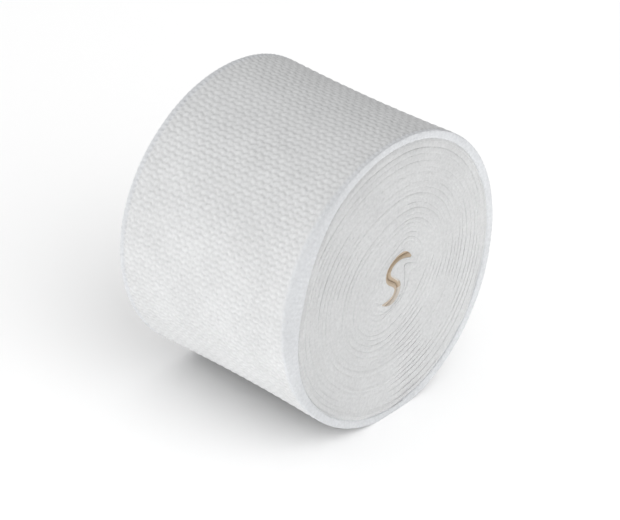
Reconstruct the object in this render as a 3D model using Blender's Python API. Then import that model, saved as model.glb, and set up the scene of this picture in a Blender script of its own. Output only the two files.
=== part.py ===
"""Gauze bandage roll: one strip of woven gauze, wound on a split pin and lying on its side.

The strip is one piece of cloth, so the roll is one solid. Across the axis it is a slightly oval
section with a shallow step where the strip ends, and an S-shaped slit through the middle, where
the pin was drawn out. Along the axis it is slightly waisted, with soft rims. It is flat where it
lies.

Frame: +X runs along the roll's axis, +Z is up, and the origin is on the surface that the roll
lies on, under the middle of the roll. Lengths are metres and angles radians. An angle round the
axis is counted from +Z towards -Y.
"""

import math

import bmesh
import bpy
from mathutils import Vector

# The strip, which sets the roll's width.
STRIP_WIDTH = 0.050

# The outline across the axis. The three shares say how far it is from round: taller than it is
# wide, and slightly egg-shaped.
ROLL_RADIUS = 0.682 * STRIP_WIDTH
OVAL_SHARE = 0.023
EGG_UPRIGHT_SHARE = -0.0055
EGG_SIDEWAYS_SHARE = -0.0073
OUTLINE_STEPS = 72

# The strip's outer end, on the flat spot: a low step down to the turn under it, which rises back
# to the outline within a few degrees.
END_ANGLE = math.radians(187)
END_STEP = 0.0005
END_FADE = math.radians(9)

# The outline along the axis.
WAIST_DEPTH = 0.0005
RIM_ROUND = 0.0012
WAIST_STATIONS = 6
RIM_STATIONS = 3

# The slit: a thin ellipse whose middle is turned against its tips, and whose upper tip is the
# further one from the axis. Its two angles are counted from +Y towards +Z.
SLIT_HALF_LENGTH = 0.19 * ROLL_RADIUS
SLIT_HALF_WIDTH = 0.028 * ROLL_RADIUS
SLIT_OFF_CENTRE = 0.023 * ROLL_RADIUS
SLIT_MIDDLE_ANGLE = math.radians(141)
SLIT_TIP_ANGLE = math.radians(42)
TWIST_START = 0.03 * ROLL_RADIUS
TWIST_END = 0.235 * ROLL_RADIUS
SLIT_STEPS = 40

# The spot that the roll's weight flattens, a little deeper than the waist.
FLAT_DEPTH = 0.0006
CUTTER_MARGIN = 0.010

WELD_DISTANCE = 0.00001
SMOOTH_ANGLE = math.radians(35)
COTTON_WHITE = (0.86, 0.87, 0.87, 1.0)
COTTON_ROUGHNESS = 0.95


def clear_scene():
    """Removes every object that the file opened with."""
    for found in list(bpy.data.objects):
        bpy.data.objects.remove(found)


def new_collection(name):
    """A collection linked to the scene."""
    made = bpy.data.collections.new(name)
    bpy.context.scene.collection.children.link(made)
    return made


def cotton_material():
    """Matt white cotton."""
    cotton = bpy.data.materials.new("white_cotton_gauze")
    cotton.use_nodes = True
    shader = cotton.node_tree.nodes["Principled BSDF"]
    shader.inputs["Base Color"].default_value = COTTON_WHITE
    shader.inputs["Roughness"].default_value = COTTON_ROUGHNESS
    shader.inputs["Metallic"].default_value = 0.0
    return cotton


def outer_radius(angle):
    """The outline's radius at an angle, with the dip beside the strip's outer end."""
    share = (
        1.0
        + OVAL_SHARE * math.cos(2 * angle)
        + EGG_UPRIGHT_SHARE * math.cos(3 * angle)
        + EGG_SIDEWAYS_SHARE * math.sin(3 * angle)
    )
    past_end = (angle - END_ANGLE) % math.tau
    return ROLL_RADIUS * share - END_STEP * math.exp(-past_end / END_FADE)


def outer_outline():
    """Points of the outline as (towards +Y, up), from the foot of the end step to its top."""
    step = math.tau / OUTLINE_STEPS
    angles = [END_ANGLE + step * i for i in range(OUTLINE_STEPS)]
    points = [polar(outer_radius(a), a) for a in angles]
    points.append(polar(outer_radius(END_ANGLE) + END_STEP, END_ANGLE))
    return points


def polar(radius, angle):
    """(towards +Y, up) of a point at this radius and angle."""
    return (-radius * math.sin(angle), radius * math.cos(angle))


def twist(radius):
    """How far the slit's own axis is turned at this radius, from +Y towards +Z."""
    share = min(1.0, max(0.0, (radius - TWIST_START) / (TWIST_END - TWIST_START)))
    eased = share * share * (3 - 2 * share)
    return SLIT_MIDDLE_ANGLE + (SLIT_TIP_ANGLE - SLIT_MIDDLE_ANGLE) * eased


def slit_outline():
    """Points of the S-shaped slit: a thin ellipse, each point turned by the twist at its radius."""
    points = []
    for i in range(SLIT_STEPS):
        turn = math.tau * i / SLIT_STEPS
        along = SLIT_OFF_CENTRE + SLIT_HALF_LENGTH * math.cos(turn)
        across = SLIT_HALF_WIDTH * math.sin(turn)
        radius = math.hypot(along, across)
        angle = math.atan2(across, along) + twist(radius)
        points.append((radius * math.cos(angle), radius * math.sin(angle)))
    return points


def add_outline(curve, points):
    """Adds one closed outline to a flat curve."""
    spline = curve.splines.new("POLY")
    spline.points.add(len(points) - 1)
    for place, (x, y) in zip(spline.points, points):
        place.co = (x, y, 0.0, 1.0)
    spline.use_cyclic_u = True


def prism_mesh():
    """The roll as a straight prism on its local Z, with the slit open from end to end."""
    curve = bpy.data.curves.new("roll_section", "CURVE")
    curve.dimensions = "2D"
    curve.fill_mode = "BOTH"
    curve.extrude = STRIP_WIDTH / 2
    add_outline(curve, outer_outline())
    add_outline(curve, slit_outline())
    drawn = bpy.data.objects.new("roll_section", curve)
    bpy.context.scene.collection.objects.link(drawn)
    evaluated = drawn.evaluated_get(bpy.context.evaluated_depsgraph_get())
    mesh = bpy.data.meshes.new_from_object(evaluated)
    bpy.data.objects.remove(drawn)
    bpy.data.curves.remove(curve)
    return mesh


def stations():
    """Places along the axis that get a ring of points on the outer wall."""
    straight = STRIP_WIDTH / 2 - RIM_ROUND
    waist = [
        straight * (2 * i / WAIST_STATIONS - 1) for i in range(WAIST_STATIONS + 1)
    ]
    rim = [
        straight + RIM_ROUND * math.sin(math.pi / 2 * i / RIM_STATIONS)
        for i in range(1, RIM_STATIONS)
    ]
    return [-s for s in reversed(rim)] + waist + rim


def profile_drop(along):
    """How far the outer wall lies inside the outline at a place along the axis."""
    straight = STRIP_WIDTH / 2 - RIM_ROUND
    past = max(0.0, abs(along) - straight)
    rounding = RIM_ROUND - math.sqrt(max(0.0, RIM_ROUND**2 - past**2))
    waist = WAIST_DEPTH * max(0.0, 1 - (along / straight) ** 2)
    return rounding + waist


def is_outer(vert):
    """Whether a point of the prism is on its outer wall."""
    return vert.co.xy.length > ROLL_RADIUS / 2


def shape_outer_wall(mesh):
    """Cuts rings into the outer wall and draws them in to the waist and the soft rims."""
    cells = bmesh.new()
    cells.from_mesh(mesh)
    bmesh.ops.remove_doubles(cells, verts=cells.verts, dist=WELD_DISTANCE)
    for along in stations():
        wall = [
            f
            for f in cells.faces
            if abs(f.normal.z) < 0.5 and all(is_outer(v) for v in f.verts)
        ]
        edges = {e for f in wall for e in f.edges}
        points = {v for f in wall for v in f.verts}
        bmesh.ops.bisect_plane(
            cells,
            geom=[*points, *edges, *wall],
            dist=WELD_DISTANCE,
            plane_co=Vector((0.0, 0.0, along)),
            plane_no=Vector((0.0, 0.0, 1.0)),
        )
    for vert in cells.verts:
        if is_outer(vert):
            radius = vert.co.xy.length
            vert.co.xy *= (radius - profile_drop(vert.co.z)) / radius
    bmesh.ops.recalc_face_normals(cells, faces=cells.faces)
    cells.to_mesh(mesh)
    cells.free()


def axis_place():
    """Where the roll's axis runs: centred over the origin, and as high as the flat spot leaves it."""
    sideways = [point[0] for point in outer_outline()]
    middle = (max(sideways) + min(sideways)) / 2
    return Vector((0.0, -middle, outer_radius(math.pi) - FLAT_DEPTH))


def floor_cutter(collection):
    """A block whose top is the surface that the roll lies on."""
    side = 2 * (ROLL_RADIUS + CUTTER_MARGIN)
    bpy.ops.mesh.primitive_cube_add(size=side, location=(0.0, 0.0, -side / 2))
    block = bpy.context.object
    block.name = "floor_cutter"
    block.hide_render = True
    block.display_type = "WIRE"
    for holder in list(block.users_collection):
        holder.objects.unlink(block)
    collection.objects.link(block)
    return block


def bandage_roll(collection, cutters):
    """The wound strip: the shaped prism laid on its side, less the flat spot."""
    mesh = prism_mesh()
    shape_outer_wall(mesh)
    roll = bpy.data.objects.new("bandage_roll", mesh)
    collection.objects.link(roll)
    roll.rotation_euler = (math.pi / 2, 0.0, math.pi / 2)
    roll.location = axis_place()
    mesh.shade_smooth()
    mesh.set_sharp_from_angle(angle=SMOOTH_ANGLE)
    mesh.materials.clear()
    mesh.materials.append(cotton_material())
    flat = roll.modifiers.new("flat_spot", "BOOLEAN")
    flat.operation = "DIFFERENCE"
    flat.object = floor_cutter(cutters)
    return roll


def main():
    clear_scene()
    parts = new_collection("gauze_bandage_roll")
    cutters = new_collection("cutters")
    bandage_roll(parts, cutters)


main()
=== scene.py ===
import math

import bpy
import numpy as np
from mathutils import Matrix, Vector


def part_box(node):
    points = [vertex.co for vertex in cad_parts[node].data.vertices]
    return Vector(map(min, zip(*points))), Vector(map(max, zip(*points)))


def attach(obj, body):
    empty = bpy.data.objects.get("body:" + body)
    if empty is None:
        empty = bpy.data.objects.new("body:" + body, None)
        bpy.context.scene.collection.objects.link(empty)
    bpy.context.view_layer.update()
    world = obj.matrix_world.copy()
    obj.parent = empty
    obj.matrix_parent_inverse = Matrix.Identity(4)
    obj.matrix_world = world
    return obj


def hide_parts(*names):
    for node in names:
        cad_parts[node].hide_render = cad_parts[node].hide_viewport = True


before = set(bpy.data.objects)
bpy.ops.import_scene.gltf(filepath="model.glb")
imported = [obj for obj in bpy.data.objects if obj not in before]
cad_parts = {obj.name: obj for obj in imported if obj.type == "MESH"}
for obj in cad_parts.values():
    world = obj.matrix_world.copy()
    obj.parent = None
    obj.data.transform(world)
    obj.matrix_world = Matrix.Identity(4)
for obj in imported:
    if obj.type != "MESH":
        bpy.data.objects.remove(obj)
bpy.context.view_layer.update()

# Looks of the gauze bandage roll: one woven strip, wound into 24 turns. It is cut into pieces only
# to keep each mesh small: the inner turns, of which the roll shows the edges, and the outer turn,
# which shows its whole weave. Lengths are metres. Angles are radians, counted round the roll's
# axis from +Z towards -Y. A depth counts turns inwards from the strip's outer end, along the strip
# and through it: where the strip's outer side is at a depth d, its inner side is at d + 1.

MM = 0.001
NODE = "bandage_roll"
SHARP_ANGLE = math.radians(75)
rng = np.random.default_rng(24)

# The roll, from the frame and from the outline that the frame's part was drawn with.
node_low, node_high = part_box(NODE)
STRIP_WIDTH = node_high.x - node_low.x
HALF_WIDTH = STRIP_WIDTH / 2
ROLL_RADIUS = 0.682 * STRIP_WIDTH
OVAL_SHARE = 0.023
EGG_UPRIGHT_SHARE = -0.0055
EGG_SIDEWAYS_SHARE = -0.0073
OUTLINE_SAMPLES = 3601
END_ANGLE = math.radians(187)
WAIST_DEPTH = 0.5 * MM
WAIST_HALF_LENGTH = 0.96 * HALF_WIDTH
FLOOR_CLEARANCE = 0.02 * MM

# The slit, and the layers that turn from its shape into the round outline. Its lengths are shares
# of the roll's radius, and its angles are counted from +Y towards +Z.
SLIT_HALF_LENGTH = 0.19
SLIT_HALF_WIDTH = 0.031
SLIT_ARM_WIDTH = 0.145
SLIT_OFF_CENTRE = 0.023
SLIT_MIDDLE_ANGLE = math.radians(141)
SLIT_TIP_ANGLE = math.radians(42)
TWIST_START = 0.03
TWIST_END = 0.235

# The winding. Each turn overlaps the next by a share of a layer, so that no gap shows between them.
TURNS = 24
LAYER_OVERLAP = 0.01
# The outer turns lie level all the way round, but for a step near the strip's outer end.
STAIR_SHARPNESS = 0.93
STAIR_REACH = 4.0
STAIR_SHIFT = 0.029
# Some turns are wound tighter than others, but not the outermost or the innermost. Each wave has
# a height, a count round the roll, a drift with depth and a start.
LOOSENESS = 0.13
LOOSE_WAVES = ((1.0, 2, 1.3, 0.0), (0.7, 3, -0.8, 2.0))
LOOSE_FROM = 1
LOOSE_RISE = 3
LOOSE_TO = 21
LOOSE_FALL = 6

# The weave: picks run across the strip, ends run along it.
PICKS_IN_OUTER_TURN = 157
ENDS = 46
SAMPLES_PER_PICK = 6
SAMPLES_PER_END = 5
PICK_PITCH = math.tau * ROLL_RADIUS / PICKS_IN_OUTER_TURN

# A gap between threads or turns that is this deep gets the full painted shade colour.
GAP_DEPTH = 0.8 * MM


def smooth(x):
    """0 to 1 as x goes from 0 to 1, level at both ends."""
    x = np.clip(x, 0.0, 1.0)
    return x * x * (3 - 2 * x)


def soft_noise(rows, cols, row_cell, col_cell):
    """Smooth noise in -1..1 on a grid, with one random value per cell."""
    lattice = rng.uniform(-1, 1, (int(rows / row_cell) + 3, int(cols / col_cell) + 3))
    row, col = np.arange(rows) / row_cell, np.arange(cols) / col_cell
    r, c = row.astype(int), col.astype(int)
    across = smooth(col - c)
    upper = lattice[r][:, c] * (1 - across) + lattice[r][:, c + 1] * across
    lower = lattice[r + 1][:, c] * (1 - across) + lattice[r + 1][:, c + 1] * across
    down = smooth(row - r)[:, None]
    return upper * (1 - down) + lower * down


def soft_line(count, cell):
    """Smooth noise in -1..1 along a line."""
    return soft_noise(1, count, 1.0, cell)[0]


def layered_noise(rows, cols, *layers):
    """Smooth noise on a grid, added up from layers of (height, row cell, col cell)."""
    return sum(height * soft_noise(rows, cols, *cell) for height, *cell in layers)


def outline_share(angle):
    """The roll's outline at an angle, as a share of its mean radius."""
    return (
        1.0
        + OVAL_SHARE * np.cos(2 * angle)
        + EGG_UPRIGHT_SHARE * np.cos(3 * angle)
        + EGG_SIDEWAYS_SHARE * np.sin(3 * angle)
    )


def roll_axis():
    """(y, z) of the roll's axis, from the node's box and the outline."""
    angle = np.linspace(0, math.tau, OUTLINE_SAMPLES)
    share = ROLL_RADIUS * outline_share(angle)
    sideways = -share * np.sin(angle)
    middle = (sideways.max() + sideways.min()) / 2
    top = (share * np.cos(angle)).max()
    return (node_low.y + node_high.y) / 2 - middle, node_high.z - top


AXIS_Y, AXIS_Z = roll_axis()
ROLL_MIDDLE = Vector((0, AXIS_Y, AXIS_Z))


def layers_down(depth):
    """How many layers lie over a depth. The outer turns are level, with a step at the end."""
    turn = math.tau * (depth - STAIR_SHIFT)
    bend = np.arctan2(STAIR_SHARPNESS * np.sin(turn), 1 - STAIR_SHARPNESS * np.cos(turn))
    # A saw tooth, which rises from 0 to 1 over each whole turn.
    saw = 0.5 - bend / math.pi
    level = np.exp(-np.maximum(depth - 1, 0) / STAIR_REACH)
    return np.maximum(depth - level * saw, 0.0)


def looseness(depth, angle):
    """How far, in layers, a turn lies from its even place."""
    wave = sum(
        height * np.sin(count * angle + drift * depth + start)
        for height, count, drift, start in LOOSE_WAVES
    )
    begun = smooth((depth - LOOSE_FROM) / LOOSE_RISE)
    not_over = smooth((LOOSE_TO - depth) / LOOSE_FALL)
    return LOOSENESS * wave * begun * not_over


def twist(radius):
    """How far the layers at this radius are turned, from +Y towards +Z."""
    share = smooth((radius - TWIST_START) / (TWIST_END - TWIST_START))
    return SLIT_MIDDLE_ANGLE + (SLIT_TIP_ANGLE - SLIT_MIDDLE_ANGLE) * share


def layer_point(depth, angle, drop=0.0, pinch=0.0):
    """(y, z) of a point of the winding: nested ovals from the slit to the outline, twisted. The
    drop moves the point towards the axis, and a pinch of 1 closes the slit."""
    layers = layers_down(depth) + looseness(depth, angle)
    inward = np.minimum(layers / TURNS, 1.0)
    along = 1 + (SLIT_HALF_LENGTH - 1) * inward
    turn = angle + math.pi / 2 - SLIT_TIP_ANGLE
    slit = SLIT_HALF_WIDTH * inward + SLIT_ARM_WIDTH * np.cos(turn) ** 4 * inward**3
    across = 1 - inward + slit * (1 - pinch)
    lengthwise = along * np.cos(turn) + SLIT_OFF_CENTRE * inward**3
    crosswise = across * np.sin(turn)
    radius = np.hypot(lengthwise, crosswise)
    heading = np.arctan2(crosswise, lengthwise) + twist(radius)
    unround = 1 + (outline_share(heading - math.pi / 2) - 1) * (1 - inward) ** 2
    reach = ROLL_RADIUS * radius * unround - drop
    return AXIS_Y + reach * np.cos(heading), AXIS_Z + reach * np.sin(heading)


def waist(x):
    """How far the barrel is drawn in at a place along the axis."""
    return WAIST_DEPTH * np.maximum(0.0, 1 - (x / WAIST_HALF_LENGTH) ** 2)


def grid_object(name, grid, tone, material):
    """One closed piece from a grid of points, kept clear of the floor: each row is a loop, and
    the first and last rows are capped. tone gives each point (painted shade, selvedge, painted
    core shade) shares for the material."""
    grid[..., 2] = np.maximum(grid[..., 2], node_low.z + FLOOR_CLEARANCE)
    rows, cols, _ = grid.shape
    index = np.arange(rows * cols).reshape(rows, cols)
    beside = np.roll(index, -1, axis=1)
    quads = np.stack([index[:-1], index[1:], beside[1:], beside[:-1]], axis=-1).reshape(-1, 4)
    mesh = bpy.data.meshes.new(name)
    loops = np.concatenate([quads.ravel(), index[0], index[-1][::-1]])
    starts = np.concatenate([np.arange(len(quads)) * 4, [quads.size, quads.size + cols]])
    mesh.vertices.add(rows * cols)
    mesh.vertices.foreach_set("co", grid.astype(np.float32).ravel())
    mesh.loops.add(len(loops))
    mesh.loops.foreach_set("vertex_index", loops.astype(np.int32))
    mesh.polygons.add(len(starts))
    mesh.polygons.foreach_set("loop_start", starts.astype(np.int32))
    mesh.update(calc_edges=True)
    mesh.validate()
    mesh.shade_smooth()
    mesh.set_sharp_from_angle(angle=SHARP_ANGLE)
    shares = np.ones((rows * cols, 4), np.float32)
    shares[:, :3] = tone.reshape(-1, 3)
    layer = mesh.color_attributes.new("tone", "FLOAT_COLOR", "POINT")
    layer.data.foreach_set("color", shares.ravel())
    mesh.materials.append(material)
    piece = bpy.data.objects.new(name, mesh)
    bpy.context.scene.collection.objects.link(piece)
    return piece


# The near rim, where the outer turn's edge curls over the end face, and further so on one side.
CURL_ANGLE = math.radians(72)
CURL_SPREAD = math.radians(36)
CURL_NARROW = 1.8 * MM
CURL_EXTRA = 3.0 * MM

# The two end faces: close to flat, with a low ring beside the curl, and uneven like felt.
FACE_RECESS = 0.30 * MM
DOME = 0.15 * MM
RING_HEIGHT = 0.28 * MM
RING_OFFSET = 1.0 * MM
RING_WIDTH = 0.6 * MM
RING_LEAST = 0.35
# Under the curled edge, the turns lie deeper.
TUCK_DEPTH = 0.50 * MM
TUCK_FADE = 0.6 * MM
# The felt's random values lie on a square grid that reaches this far from the axis. Each of its
# layers has a cell size and a height.
FELT_REACH = 1.15 * ROLL_RADIUS
FELT = ((9.0 * MM, 0.16 * MM), (1.5 * MM, 0.030 * MM), (0.50 * MM, 0.026 * MM))


def curl_share(angle):
    """1 where the curl is widest, falling to 0 on the far side."""
    away = (angle - CURL_ANGLE + math.pi) % math.tau - math.pi
    return np.exp(-((away / CURL_SPREAD) ** 2))


def curl_width(side, angle):
    """How far in from the rim the outer turn's edge reaches over an end face."""
    if side > 0:
        return CURL_NARROW + CURL_EXTRA * curl_share(angle)
    return np.full_like(angle, CURL_NARROW)


def felt_layers():
    """The felt of one end face: each layer's cell size, height and random values."""
    layers = []
    for cell, height in FELT:
        count = int(2 * FELT_REACH / cell) + 3
        layers.append((cell, height, rng.uniform(-1, 1, (count, count))))
    return layers


felt = {1: felt_layers(), -1: felt_layers()}


def felt_height(side, y, z):
    """Unevenness of an end face."""
    total = 0.0
    for cell, height, values in felt[side]:
        last = len(values) - 2
        col = np.clip((y - AXIS_Y + FELT_REACH) / cell, 0, last)
        row = np.clip((z - AXIS_Z + FELT_REACH) / cell, 0, last)
        c, r = col.astype(int), row.astype(int)
        over, up = smooth(col - c), smooth(row - r)
        lower = values[r, c] * (1 - over) + values[r, c + 1] * over
        upper = values[r + 1, c] * (1 - over) + values[r + 1, c + 1] * over
        total = total + height * (lower * (1 - up) + upper * up)
    return total


def face_height(side, y, z):
    """How far an end face stands out from the middle of the roll."""
    across, up = y - AXIS_Y, z - AXIS_Z
    share = np.hypot(across, up) / ROLL_RADIUS
    angle = np.arctan2(-across, up)
    below_rim = ROLL_RADIUS * (outline_share(angle) - share)
    width = curl_width(side, angle)
    past_ring = (below_rim - width - RING_OFFSET) / RING_WIDTH
    ring_share = RING_LEAST + (1 - RING_LEAST) * curl_share(angle)
    ring = RING_HEIGHT * np.exp(-(past_ring**2)) * ring_share
    tucked = TUCK_DEPTH * smooth((width - below_rim) / TUCK_FADE + 0.5)
    rise = DOME * (1 - share**2) + ring + felt_height(side, y, z)
    return HALF_WIDTH - FACE_RECESS + rise - tucked


# Grooves between the turns: faint everywhere, deeper along a few arcs. Along the spiral, both
# swell and fade by these shares, over these numbers of steps.
GROOVE = 0.045 * MM
GROOVE_STEPS_PER_TURN = 240
SLOW_SWELL = 0.6
SLOW_SWELL_STEPS = 30
QUICK_SWELL = 0.4
QUICK_SWELL_STEPS = 7
ARC_SWELL = 0.25
ARC_SWELL_STEPS = 3
# The table of grooves starts at this depth, the inner side of the strip's inner end, and runs
# outwards, past the outer end by these spare turns.
GROOVE_START = TURNS + 1
SPARE_TURNS = 2

# An arc's depth is a share of ARC_DEPTH, and it fades towards both of its ends.
ARC_DEPTH = 0.18 * MM
ARC_BLUNTNESS = 0.7
ARCS = (
    # whole turns in from the outside, the degree where it starts, how many degrees it runs, depth
    dict(turns=2, start=225, length=125, depth=0.34),
    dict(turns=3, start=262, length=85, depth=0.28),
    dict(turns=4, start=30, length=100, depth=0.26),
    dict(turns=4, start=275, length=70, depth=0.25),
    dict(turns=5, start=38, length=70, depth=0.20),
    dict(turns=8, start=33, length=64, depth=0.32),
    dict(turns=9, start=47, length=18, depth=0.20),
    dict(turns=14, start=20, length=92, depth=0.30),
    dict(turns=17, start=78, length=38, depth=0.24),
    dict(turns=14, start=178, length=56, depth=0.22),
    dict(turns=11, start=234, length=92, depth=0.28),
    dict(turns=10, start=258, length=66, depth=0.22),
    dict(turns=7, start=278, length=15, depth=0.20),
    dict(turns=22, start=150, length=120, depth=0.55),
    dict(turns=21, start=180, length=60, depth=0.30),
    dict(turns=22, start=340, length=80, depth=0.40),
    dict(turns=21, start=20, length=50, depth=0.30),
)


def groove_table():
    """Groove depth along the spiral between the turns, from the core outwards."""
    count = (GROOVE_START + SPARE_TURNS) * GROOVE_STEPS_PER_TURN
    wound = np.arange(count) / GROOVE_STEPS_PER_TURN
    slow_swell = SLOW_SWELL * soft_line(count, SLOW_SWELL_STEPS)
    quick_swell = QUICK_SWELL * soft_line(count, QUICK_SWELL_STEPS)
    groove = GROOVE * (1 + slow_swell + quick_swell)
    broken = 1 + ARC_SWELL * soft_line(count, ARC_SWELL_STEPS)
    for arc in ARCS:
        behind = ((END_ANGLE - math.radians(arc["start"])) % math.tau) / math.tau
        begin = GROOVE_START - arc["turns"] - behind
        share = (wound - begin) * 360 / arc["length"]
        inside = (share > 0) & (share < 1)
        shape = np.where(inside, np.sin(math.pi * share), 0) ** ARC_BLUNTNESS
        groove += ARC_DEPTH * arc["depth"] * broken * shape
    return groove


grooves = groove_table()


def groove_at(depth):
    """Groove depth at a place on the spiral between the turns."""
    place = (GROOVE_START - depth) * GROOVE_STEPS_PER_TURN
    return np.interp(place, np.arange(len(grooves)), grooves)


# The inner turns' edges. An edge share runs from -1 on the strip's inner side to 1 on its outer
# side, and the edges drop into the grooves towards both.
INNER_STEP = 0.30 * MM
TRIAL_STATIONS_PER_TURN = 720
EDGE_SHARES = np.array([-1.0, -0.9, -0.7, -0.35, 0.0, 0.35, 0.7, 0.9, 1.0])
EDGE_BLUNTNESS = 2.2
# The end faces are painted a little darker than the strip's outer side, a painted shade, and the
# grooves between the turns get a deeper painted shade.
EDGE_SHADE = 0.44
GROOVE_SHADE_POWER = 6
# On the edges, tufts of fuzz and the tips of the picks stand out, and a whole turn slips in or out
# a little. All three fade towards the grooves.
FUZZ_HEIGHT = 0.022 * MM
FUZZ_CELL = (1.6, 1.3)
PICK_BUMP = 0.03 * MM
PICK_DRIFT = 3
TURN_SLIP = 0.05 * MM
TURN_SLIP_STATIONS = 90
RELIEF_FADE_POWER = 4

# The core: where the cloth is painted darker and warmer, a painted shade with warm bounced light,
# and where the innermost turn starts to close the slit.
# The slit closes at these insets from the end faces, each with how tightly it closes there.
CORE_DEPTH = 22.5
CLOSING_DEPTH = 22.7
CLOSING_FADE = 0.3
PINCH_PLACES = ((0.25 * MM, 0.50), (0.60 * MM, 0.96))


def even_stations(first_depth, last_depth):
    """Depths of evenly spaced stations along the strip, from the inside outwards, and how long
    the strip is between the two ends."""
    trials = int(abs(first_depth - last_depth) * TRIAL_STATIONS_PER_TURN) + 2
    depth = np.linspace(first_depth, last_depth, trials)
    y, z = layer_point(depth + 0.5, END_ANGLE - math.tau * depth)
    run = np.concatenate([[0], np.cumsum(np.hypot(np.diff(y), np.diff(z)))])
    places = np.linspace(0, run[-1], round(run[-1] / INNER_STEP))
    return np.interp(places, run, depth), run[-1]


def inner_turns(name, first_depth, last_depth, material):
    """A stretch of the strip whose two edges show: a thin band with blunt, fuzzy edges."""
    depth, length = even_stations(first_depth, last_depth)
    angle = END_ANGLE - math.tau * depth
    rows = len(depth)
    half = len(EDGE_SHARES)
    cols = 2 * half + 2 * len(PINCH_PLACES)
    grid = np.zeros((rows, cols, 3))
    tone = np.zeros((rows, cols, 3))
    slip = TURN_SLIP * soft_line(rows, TURN_SLIP_STATIONS)[:, None]
    inside_groove = groove_at(depth + 1)[:, None]
    outside_groove = groove_at(depth)[:, None]
    core = smooth(depth - CORE_DEPTH)[:, None]
    for side, shares, at in ((1, EDGE_SHARES, 0), (-1, EDGE_SHARES[::-1], half)):
        share = shares[None, :]
        here = depth[:, None] + 0.5 - 0.5 * share * (1 + LAYER_OVERLAP)
        y, z = layer_point(here, angle[:, None])
        groove = np.where(share < 0, inside_groove, outside_groove)
        fuzz = soft_noise(rows, half, *FUZZ_CELL)
        bump = np.cos(math.tau * depth[:, None] * PICKS_IN_OUTER_TURN + PICK_DRIFT * fuzz)
        relief = slip + FUZZ_HEIGHT * fuzz + PICK_BUMP * bump
        x = (
            face_height(side, y, z)
            - groove * np.abs(share) ** EDGE_BLUNTNESS
            + relief * (1 - share**RELIEF_FADE_POWER)
        )
        grid[:, at : at + half] = np.stack([side * x, y, z], axis=-1)
        # Painted shade: the end faces are tinted towards the shade colour, more deeply in the
        # grooves.
        dark = np.abs(share) ** GROOVE_SHADE_POWER * (groove / GAP_DEPTH)
        tone[:, at : at + half, 0] = EDGE_SHADE + (1 - EDGE_SHADE) * dark
        # Painted shade with warm bounced light on the strip's inner side in the core.
        tone[:, at : at + half, 2] = core * (share == -1)
    # The strip's inner side, which closes the slit a little way in.
    y, z = layer_point(depth + 1, angle)
    closing = smooth((depth - CLOSING_DEPTH) / CLOSING_FADE)
    places = [(-1, *place) for place in PINCH_PLACES]
    places += [(1, *place) for place in PINCH_PLACES[::-1]]
    for col, (side, inset, pinch) in enumerate(places, start=2 * half):
        closed_y, closed_z = layer_point(depth + 1, angle, pinch=pinch)
        grid[:, col, 0] = side * (HALF_WIDTH - inset)
        grid[:, col, 1] = y + (closed_y - y) * closing
        grid[:, col, 2] = z + (closed_z - z) * closing
        tone[:, col, 2] = core[:, 0]
    return grid_object(name, grid, tone, material), length


# The outer turn's weave, in shares of a thread's pitch and in metres of height. A float is where
# a thread passes over another, and it spreads there.
WARP_HALF = 0.44
WARP_SPREAD = 0.12
WARP_SWING = 0.12 * MM
WARP_THICK = 0.18 * MM
WEFT_HALF = 0.50
WEFT_SPREAD = 0.06
WEFT_SWING = 0.06 * MM
WEFT_THICK = 0.34 * MM
WEAVE_TOP = WEFT_SWING + WEFT_THICK
WEAVE_FLOOR = -0.36 * MM
ZIGZAG = 0.12
END_MARGIN = 0.01

# Layers of noise, each with a height and its cell's samples along and across the strip. The first
# three are shares, of a thread's pitch and of its height, and the fluff's two are metres.
PICK_WANDER = ((0.20, 40, 30), (0.08, 9, 9))
END_WANDER = ((0.16, 50, 22), (0.06, 9, 9))
THREAD_UNEVENNESS = (0.22, 6, 5)
FLUFF = (0.018 * MM, 1.5, 1.5)
RIM_FLUFF = (0.025 * MM, 4.0, 1.0)

# The selvedges, dense and faintly ribbed, and the pits in a row beside each. The near one fades
# out more slowly where the curl is wide.
SELVEDGE_NEAR = 0.8 * MM
SELVEDGE_FAR = 1.1 * MM
SELVEDGE_FADE = 0.7 * MM
SELVEDGE_SPREAD = 1.2
SELVEDGE_LEVEL = -0.10 * MM
SELVEDGE_RIB = 0.03 * MM
PIT_DEPTH = 0.30 * MM
PIT_FAR_SHARE = 1.4
PIT_INSET = 0.2 * MM
PIT_RADIUS = 0.34 * MM

# The outer turn's rims: a rounded corner, a shelf over the end face, and the edge that ends it.
# The corner is deeper where the curl is wide.
CORNER_NARROW = 0.30 * MM
CORNER_EXTRA = 1.1 * MM
CORNER_SHARE = 0.85
CORNER_SAMPLES = 9
SHELF_SLOPE = 0.12 * MM
SHELF_SAMPLES = 5
EDGE_DROP = 0.75 * MM
EDGE_CURVE = 1.5
EDGE_TUCK = 0.25 * MM
EDGE_SAMPLES = 3
RIM_WOBBLE = 0.06 * MM
RIM_WOBBLE_SAMPLES = 25
UNDER_INSET = 0.1 * MM


def thread(offset, half):
    """Height of a round thread's surface over its middle line, as a share of its thickness."""
    return np.sqrt(np.maximum(0.0, 1 - (offset / half) ** 2))


def threads_height(place, other_place, parity, half, spread, swing, thick):
    """Height of one set of threads, which lie side by side along "place" and go over and under
    the threads that lie along "other_place"."""
    top = np.full(place.shape, WEAVE_FLOOR)
    for step in (-1, 0, 1):
        number = np.floor(place) + step
        offset = place - number - 0.5
        over = parity * np.cos(math.pi * (other_place - 0.5)) * np.where(number % 2 == 0, 1, -1)
        reach = half * (1 + spread * over)
        height = swing * over + thick * thread(offset, reach)
        top = np.maximum(top, np.where(np.abs(offset) < reach, height, WEAVE_FLOOR))
    return top


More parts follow.
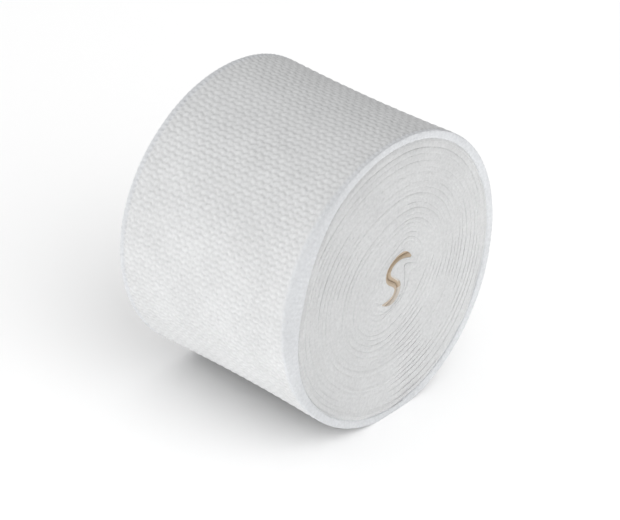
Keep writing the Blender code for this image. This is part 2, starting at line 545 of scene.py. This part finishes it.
def weave_height(pick_place, end_place):
    """Height of the plain weave over its middle plane: whichever thread is higher there."""
    pick_place = pick_place + ZIGZAG * np.cos(math.pi * end_place)
    warp = threads_height(
        end_place, pick_place, 1, WARP_HALF, WARP_SPREAD, WARP_SWING, WARP_THICK
    )
    weft = threads_height(
        pick_place, end_place, -1, WEFT_HALF, WEFT_SPREAD, WEFT_SWING, WEFT_THICK
    )
    return np.maximum(warp, weft)


def rim_profile(side, angle):
    """The outer turn's profile past one end of the barrel, from the barrel to the hidden edge: how
    far out from the barrel's end, how far in from the outline, and the way that it faces. The last
    value is how far out the whole rim stands."""
    share = curl_share(angle)[:, None] if side > 0 else np.zeros((len(angle), 1))
    width = curl_width(side, angle)[:, None]
    out = CORNER_NARROW + CORNER_EXTRA * share
    down = CORNER_NARROW * (1 - share) + CORNER_SHARE * width * share
    turn = np.linspace(0, math.pi / 2, CORNER_SAMPLES + 1)[None, 1:]
    along = np.linspace(0, 1, SHELF_SAMPLES + 1)[None, 1:]
    past = np.linspace(0, 1, EDGE_SAMPLES + 1)[None, 1:]
    corner_x = out * np.sin(turn)
    shelf_x = out - SHELF_SLOPE * along**2
    edge_x = out - SHELF_SLOPE - EDGE_DROP * past**EDGE_CURVE
    corner_drop = down * (1 - np.cos(turn))
    shelf_drop = down + (width - down) * along
    edge_drop = width + EDGE_TUCK * np.sin(math.pi / 2 * past)
    corner_facing = np.repeat(turn, len(angle), axis=0)
    end_facing = np.full((len(angle), SHELF_SAMPLES + EDGE_SAMPLES), math.pi / 2)
    x = np.hstack([corner_x, shelf_x, edge_x])
    drop = np.hstack([corner_drop, shelf_drop, edge_drop])
    facing = np.hstack([corner_facing, end_facing])
    return x, drop, facing, out


def outer_relief(x, facing, curl):
    """How high the outer turn's surface stands, with 0 at the tops of its threads, and what share
    of it is openly woven, as the selvedges aren't."""
    rows, cols = x.shape
    on_barrel = facing == 0
    pick_place = np.arange(rows)[:, None] / SAMPLES_PER_PICK
    pick_place = pick_place + layered_noise(rows, cols, *PICK_WANDER)
    end_place = np.clip((HALF_WIDTH - x) / STRIP_WIDTH * ENDS, END_MARGIN, ENDS - END_MARGIN)
    end_place = end_place + layered_noise(rows, cols, *END_WANDER)
    height = weave_height(pick_place, end_place) - WEAVE_TOP
    height *= 1 + layered_noise(rows, cols, THREAD_UNEVENNESS)
    # The selvedges, denser than the rest.
    from_near, from_far = HALF_WIDTH - x, HALF_WIDTH + x
    near_fade = SELVEDGE_FADE * (1 + SELVEDGE_SPREAD * curl)
    woven = smooth((from_near - SELVEDGE_NEAR) / near_fade)
    woven *= smooth((from_far - SELVEDGE_FAR) / SELVEDGE_FADE)
    plain = SELVEDGE_LEVEL + SELVEDGE_RIB * np.cos(math.tau * pick_place)
    height = height * woven + plain * (1 - woven)
    # The pits, one to a pick. The near ones vanish where the curl is wide.
    pit_off = (pick_place - np.floor(pick_place) - 0.5) * PICK_PITCH
    for distance, selvedge, pit in (
        (from_near, SELVEDGE_NEAR, PIT_DEPTH * (1 - curl)),
        (from_far, SELVEDGE_FAR, PIT_FAR_SHARE * PIT_DEPTH),
    ):
        aside = distance - selvedge - PIT_INSET
        height -= pit * np.exp(-(pit_off**2 + aside**2) / PIT_RADIUS**2) * on_barrel
    height += layered_noise(rows, cols, FLUFF)
    height += layered_noise(rows, cols, RIM_FLUFF) * np.sin(np.abs(facing))
    return height, woven


def outer_surface():
    """The outer turn's points and tones on an even grid: rows along the strip."""
    rows = PICKS_IN_OUTER_TURN * SAMPLES_PER_PICK + 1
    depth = np.linspace(1, 0, rows)
    angle = END_ANGLE - math.tau * depth
    near_x, near_drop, near_facing, near_out = rim_profile(1, angle)
    far_x, far_drop, far_facing, far_out = rim_profile(-1, angle)
    near_wobble = RIM_WOBBLE * soft_line(rows, RIM_WOBBLE_SAMPLES)[:, None]
    far_wobble = RIM_WOBBLE * soft_line(rows, RIM_WOBBLE_SAMPLES)[:, None]
    near_end = HALF_WIDTH + near_wobble - near_out
    far_end = HALF_WIDTH + far_wobble - far_out
    share = np.linspace(0, 1, ENDS * SAMPLES_PER_END + 1)[None, :]
    barrel_x = near_end - (near_end + far_end) * share
    flat = np.zeros_like(barrel_x)
    x = np.hstack([(near_end + near_x)[:, ::-1], barrel_x, -far_end - far_x])
    drop = np.hstack([near_drop[:, ::-1], flat, far_drop])
    facing = np.hstack([near_facing[:, ::-1], flat, -far_facing])
    height, woven = outer_relief(x, facing, curl_share(angle)[:, None])
    drop = drop - height * np.cos(facing) + waist(x) * (facing == 0)
    x = x + height * np.sin(facing)
    y, z = layer_point(depth[:, None], angle[:, None], drop)
    tone = np.zeros((*x.shape, 3))
    # Painted shade: the deeper a gap in the woven part, the more of the shade colour it gets.
    tone[..., 0] = np.clip(-height / GAP_DEPTH, 0, 1) * woven
    tone[..., 1] = 1 - woven
    return depth, x, y, z, tone


def outer_turn(name, surface, first, last, material):
    """A stretch of the outer turn, closed by the strip's plain inner side."""
    depth, x, y, z, tone = (part[first : last + 1] for part in surface)
    angle = END_ANGLE - math.tau * depth
    under = depth[:, None] + (1 + LAYER_OVERLAP)
    under_y, under_z = layer_point(np.repeat(under, 2, axis=1), angle[:, None])
    under_x = np.hstack([x[:, -1:] + UNDER_INSET, x[:, :1] - UNDER_INSET])
    grid = np.stack(
        [np.hstack([x, under_x]), np.hstack([y, under_y]), np.hstack([z, under_z])], axis=-1
    )
    tone = np.hstack([tone, np.zeros((len(depth), 2, 3))])
    piece = grid_object(name, grid, tone, material)
    mid_y, mid_z = layer_point(depth + 0.5, angle)
    length = np.hypot(np.diff(mid_y), np.diff(mid_z)).sum()
    return piece, float(length)


# The cotton: its colours, and the noise that mottles them and roughens the surface.
COTTON = (0.885, 0.892, 0.896)
# Painted shade: a darker colour laid into weave gaps, grooves between turns and end faces.
COTTON_PAINTED_SHADE = (0.60, 0.602, 0.602)
COTTON_SELVEDGE = (0.825, 0.84, 0.86)
# Painted shade with warm bounced light, for the slit in the core.
CORE_PAINTED_SHADE = (0.58, 0.47, 0.35)
COTTON_ROUGHNESS = 0.95
COTTON_SPECULAR = 0.15
SHEEN_WEIGHT = 0.08
SHEEN_ROUGHNESS = 0.6
BROAD_NOISE = dict(Scale=90.0, Detail=3.0)
FINE_NOISE = dict(Scale=1500.0, Detail=4.0)
FIBRE_NOISE = dict(Scale=5200.0, Detail=3.0)
WOOLLY_BUMP = dict(Distance=0.16 * MM, Strength=0.25)
FIBRE_BUMP = dict(Distance=0.06 * MM, Strength=0.6)
# Noise in this range dims or brightens the colours between these two shares.
NOISE_RANGE = dict(From_Min=0.3, From_Max=0.7)
BROAD_MOTTLE = dict(To_Min=0.96, To_Max=1.03)
FINE_MOTTLE = dict(To_Min=0.93, To_Max=1.05)


def set_input(tree, socket, value):
    """Gives a shader socket a value, or links it to another socket."""
    if isinstance(value, bpy.types.NodeSocket):
        tree.links.new(value, socket)
    else:
        socket.default_value = value


def node(tree, kind, **inputs):
    """A shader node with some of its inputs set or linked. An underscore stands for a space."""
    made = tree.nodes.new(kind)
    for name, value in inputs.items():
        set_input(tree, made.inputs[name.replace("_", " ")], value)
    return made


def mix(tree, share, first, second, blend="MIX"):
    """A colour between two colours, each of which is a socket or three numbers."""
    made = tree.nodes.new("ShaderNodeMix")
    made.data_type = "RGBA"
    made.blend_type = blend
    set_input(tree, made.inputs[0], share)
    for socket, colour in ((made.inputs[6], first), (made.inputs[7], second)):
        set_input(tree, socket, (*colour, 1.0) if isinstance(colour, tuple) else colour)
    return made.outputs[2]


def cotton_material():
    """Matt bleached cotton, greyer at the selvedge, with painted shade on gaps, edges and core."""
    material = bpy.data.materials.new("bleached_cotton_gauze")
    material.use_nodes = True
    tree = material.node_tree
    shader = tree.nodes["Principled BSDF"]
    place = tree.nodes.new("ShaderNodeTexCoord").outputs["Object"]
    tone = tree.nodes.new("ShaderNodeVertexColor")
    tone.layer_name = "tone"
    parts = node(tree, "ShaderNodeSeparateColor", Color=tone.outputs["Color"])
    broad = node(tree, "ShaderNodeTexNoise", Vector=place, **BROAD_NOISE)
    fine = node(tree, "ShaderNodeTexNoise", Vector=place, **FINE_NOISE)
    fibre = node(tree, "ShaderNodeTexNoise", Vector=place, **FIBRE_NOISE)
    colour = mix(tree, parts.outputs["Green"], COTTON, COTTON_SELVEDGE)
    # Painted shade from the tone's red share, and the core's painted shade from its blue share.
    colour = mix(tree, parts.outputs["Red"], colour, COTTON_PAINTED_SHADE)
    colour = mix(tree, parts.outputs["Blue"], colour, CORE_PAINTED_SHADE)
    for noise, mottle in ((broad, BROAD_MOTTLE), (fine, FINE_MOTTLE)):
        level = noise.outputs["Fac"]
        span = node(tree, "ShaderNodeMapRange", Value=level, **NOISE_RANGE, **mottle)
        colour = mix(tree, 1.0, colour, span.outputs["Result"], "MULTIPLY")
    tree.links.new(colour, shader.inputs["Base Color"])
    woolly = node(tree, "ShaderNodeBump", Height=fine.outputs["Fac"], **WOOLLY_BUMP)
    fluff = node(
        tree,
        "ShaderNodeBump",
        Height=fibre.outputs["Fac"],
        Normal=woolly.outputs["Normal"],
        **FIBRE_BUMP,
    )
    tree.links.new(fluff.outputs["Normal"], shader.inputs["Normal"])
    shader.inputs["Roughness"].default_value = COTTON_ROUGHNESS
    shader.inputs["Specular IOR Level"].default_value = COTTON_SPECULAR
    shader.inputs["Sheen Weight"].default_value = SHEEN_WEIGHT
    shader.inputs["Sheen Roughness"].default_value = SHEEN_ROUGHNESS
    return material


# The stage: a pale floor and a soft dome. Two lamps light all but the floor, a broad key from the
# left and a small low fill before the near end, and two light it alone, so that the floor's shade
# and the roll's are set apart.
FLOOR_SIZE = 12.0
FLOOR_COLOUR = (0.95, 0.95, 0.95, 1.0)
SKY_COLOUR = (1.0, 1.0, 1.0, 1.0)
SKY = 0.442
ROLL_LAMPS = (
    dict(name="key", azimuth=-12, elevation=40, distance=1.1, size=0.9, power=4.3),
    dict(name="fill", azimuth=108, elevation=-10, distance=0.13, size=0.03, power=0.022),
)
FLOOR_LAMPS = (
    dict(name="floor_side", azimuth=80, elevation=42, distance=1.6, size=1.6, power=12.5),
    dict(name="floor_wide", azimuth=0, elevation=90, distance=1.2, size=3.0, power=14.7),
)


def floor():
    """A plain pale floor."""
    bpy.ops.mesh.primitive_plane_add(size=FLOOR_SIZE, location=(0, 0, node_low.z))
    made = bpy.context.object
    made.name = "floor"
    material = bpy.data.materials.new("pale_floor")
    material.use_nodes = True
    shader = material.node_tree.nodes["Principled BSDF"]
    shader.inputs["Base Color"].default_value = FLOOR_COLOUR
    shader.inputs["Roughness"].default_value = 1.0
    shader.inputs["Specular IOR Level"].default_value = 0.0
    made.data.materials.append(material)
    return made


def way_back(azimuth, elevation):
    """The direction from the roll to a place seen at these angles."""
    a, e = math.radians(azimuth), math.radians(elevation)
    return Vector((math.sin(a) * math.cos(e), -math.cos(a) * math.cos(e), math.sin(e)))


def soft_light(name, azimuth, elevation, distance, size, power):
    """An area light aimed at the roll."""
    back = way_back(azimuth, elevation)
    data = bpy.data.lights.new(name, "AREA")
    data.shape = "DISK"
    data.size = size
    data.energy = power
    lamp = bpy.data.objects.new(name, data)
    lamp.location = ROLL_MIDDLE + back * distance
    lamp.rotation_euler = back.to_track_quat("Z", "Y").to_euler()
    lamp.visible_camera = False
    bpy.context.scene.collection.objects.link(lamp)
    return lamp


def link_lamp(lamp, stage_floor, link_state):
    """Makes a lamp light the floor alone, with INCLUDE, or all but the floor, with EXCLUDE."""
    linked = bpy.data.collections.new(f"{lamp.name}_link")
    linked.objects.link(stage_floor)
    lamp.light_linking.receiver_collection = linked
    linked.collection_objects[0].light_linking.link_state = link_state


def lights(stage_floor):
    """The dome and the four lamps."""
    world = bpy.data.worlds.new("studio")
    bpy.context.scene.world = world
    world.use_nodes = True
    dome = world.node_tree.nodes["Background"]
    dome.inputs["Color"].default_value = SKY_COLOUR
    dome.inputs["Strength"].default_value = SKY
    for settings in ROLL_LAMPS:
        link_lamp(soft_light(**settings), stage_floor, "EXCLUDE")
    for settings in FLOOR_LAMPS:
        link_lamp(soft_light(**settings), stage_floor, "INCLUDE")
    view = bpy.context.scene.view_settings
    view.view_transform = "Standard"
    view.look = "None"


# The camera: the degrees that it looks from, and where the roll's middle lies from it, in roll
# radii, to its right, down and forward. Its focal length is in pixels of an image this wide.
CAMERA_AZIMUTH = 43.2
CAMERA_ELEVATION = 32.3
ROLL_RIGHT = -0.00814
ROLL_DOWN = -0.1278
ROLL_FORWARD = 19.25
FOCAL_PIXELS = 2992
IMAGE_WIDTH = 620
SENSOR = 36.0
FURTHEST_SEEN = 10.0


def camera():
    """A long lens, level, looking down on the roll's near end and one side."""
    a = math.radians(CAMERA_AZIMUTH)
    back = way_back(CAMERA_AZIMUTH, CAMERA_ELEVATION)
    right = Vector((math.cos(a), math.sin(a), 0))
    up = back.cross(right)
    offset = ROLL_RIGHT * right - ROLL_DOWN * up - ROLL_FORWARD * back
    data = bpy.data.cameras.new("camera")
    data.sensor_width = SENSOR
    data.lens = FOCAL_PIXELS / IMAGE_WIDTH * SENSOR
    data.clip_end = FURTHEST_SEEN
    made = bpy.data.objects.new("camera", data)
    turn = Matrix((right, up, back)).transposed().to_4x4()
    made.matrix_world = Matrix.Translation(ROLL_MIDDLE - ROLL_RADIUS * offset) @ turn
    bpy.context.scene.collection.objects.link(made)
    bpy.context.scene.camera = made


# Each stretch of the inner turns, with the depths of its two ends, and how many stretches the
# outer turn is cut into.
INNER_PIECES = (("inner_turns", TURNS, 13), ("middle_turns", 13, 6), ("under_turns", 6, 1))
OUTER_PIECES = 3


def bandage(material):
    """Every piece of the strip, attached to the root and printed with its length of cloth."""
    made = []
    for name, first, last in INNER_PIECES:
        made.append(inner_turns(name, first, last, material))
    surface = outer_surface()
    rows = PICKS_IN_OUTER_TURN * SAMPLES_PER_PICK
    cuts = [round(rows * i / OUTER_PIECES) for i in range(OUTER_PIECES + 1)]
    for number, (first, last) in enumerate(zip(cuts, cuts[1:]), start=1):
        made.append(outer_turn(f"outer_turn_{number}", surface, first, last, material))
    for piece, length in made:
        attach(piece, "root")
        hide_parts(NODE)
        print(f"{piece.name}: {length:.4f} m of strip, {len(piece.data.polygons)} faces")


lights(floor())
camera()
bandage(cotton_material())
